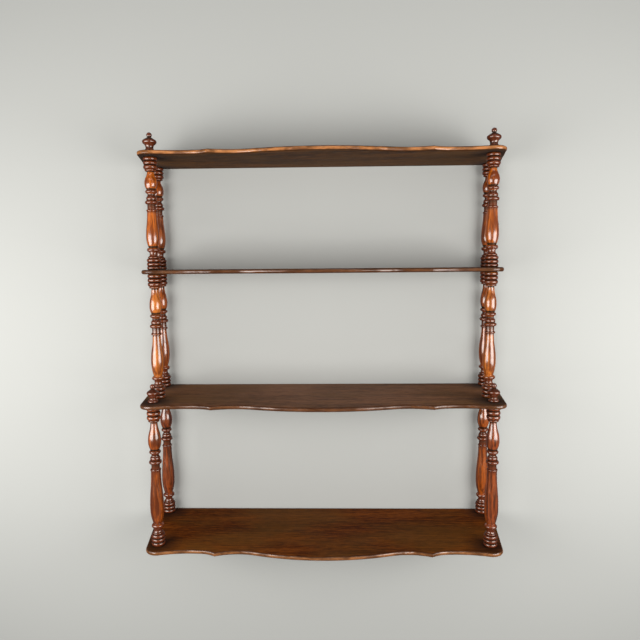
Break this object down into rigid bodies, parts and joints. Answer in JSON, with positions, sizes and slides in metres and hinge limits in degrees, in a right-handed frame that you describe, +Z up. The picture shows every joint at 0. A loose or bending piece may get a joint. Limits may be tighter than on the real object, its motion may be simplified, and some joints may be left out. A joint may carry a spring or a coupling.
{
  "type": "hanging wall shelf",
  "caption": "Hanging wall shelf with serpentine-fronted boards carried on columns of turned spindles, with finials, for books and ornaments.",
  "frame": {"origin": "middle of the top board's back edge, on the wall plane", "axes": "+X to the right seen from the room, +Y towards the wall, +Z up"},
  "size_m": [0.6778, 0.1865, 0.744],
  "materials": {
    "boards": "waxed mahogany",
    "turnings": "polished mahogany"
  },
  "bodies": {
    "root": {"shelf_top": "boards", "shelf_upper": "boards", "shelf_lower": "boards", "shelf_bottom": "boards", "cap_back_left": "turnings", "finial_top_left": "turnings", "spindle_top_back_left": "turnings", "spindle_top_front_left": "turnings", "spindle_middle_back_left": "turnings", "spindle_middle_front_left": "turnings", "nut_lower_left": "turnings", "finial_lower_left": "turnings", "spindle_low_back_left": "turnings", "spindle_low_front_left": "turnings", "nut_bottom_back_left": "turnings", "nut_bottom_front_left": "turnings", "cap_back_right": "turnings", "finial_top_right": "turnings", "spindle_top_back_right": "turnings", "spindle_top_front_right": "turnings", "spindle_middle_back_right": "turnings", "spindle_middle_front_right": "turnings", "nut_lower_right": "turnings", "finial_lower_right": "turnings", "spindle_low_back_right": "turnings", "spindle_low_front_right": "turnings", "nut_bottom_back_right": "turnings", "nut_bottom_front_right": "turnings"}
  },
  "joints": []
}
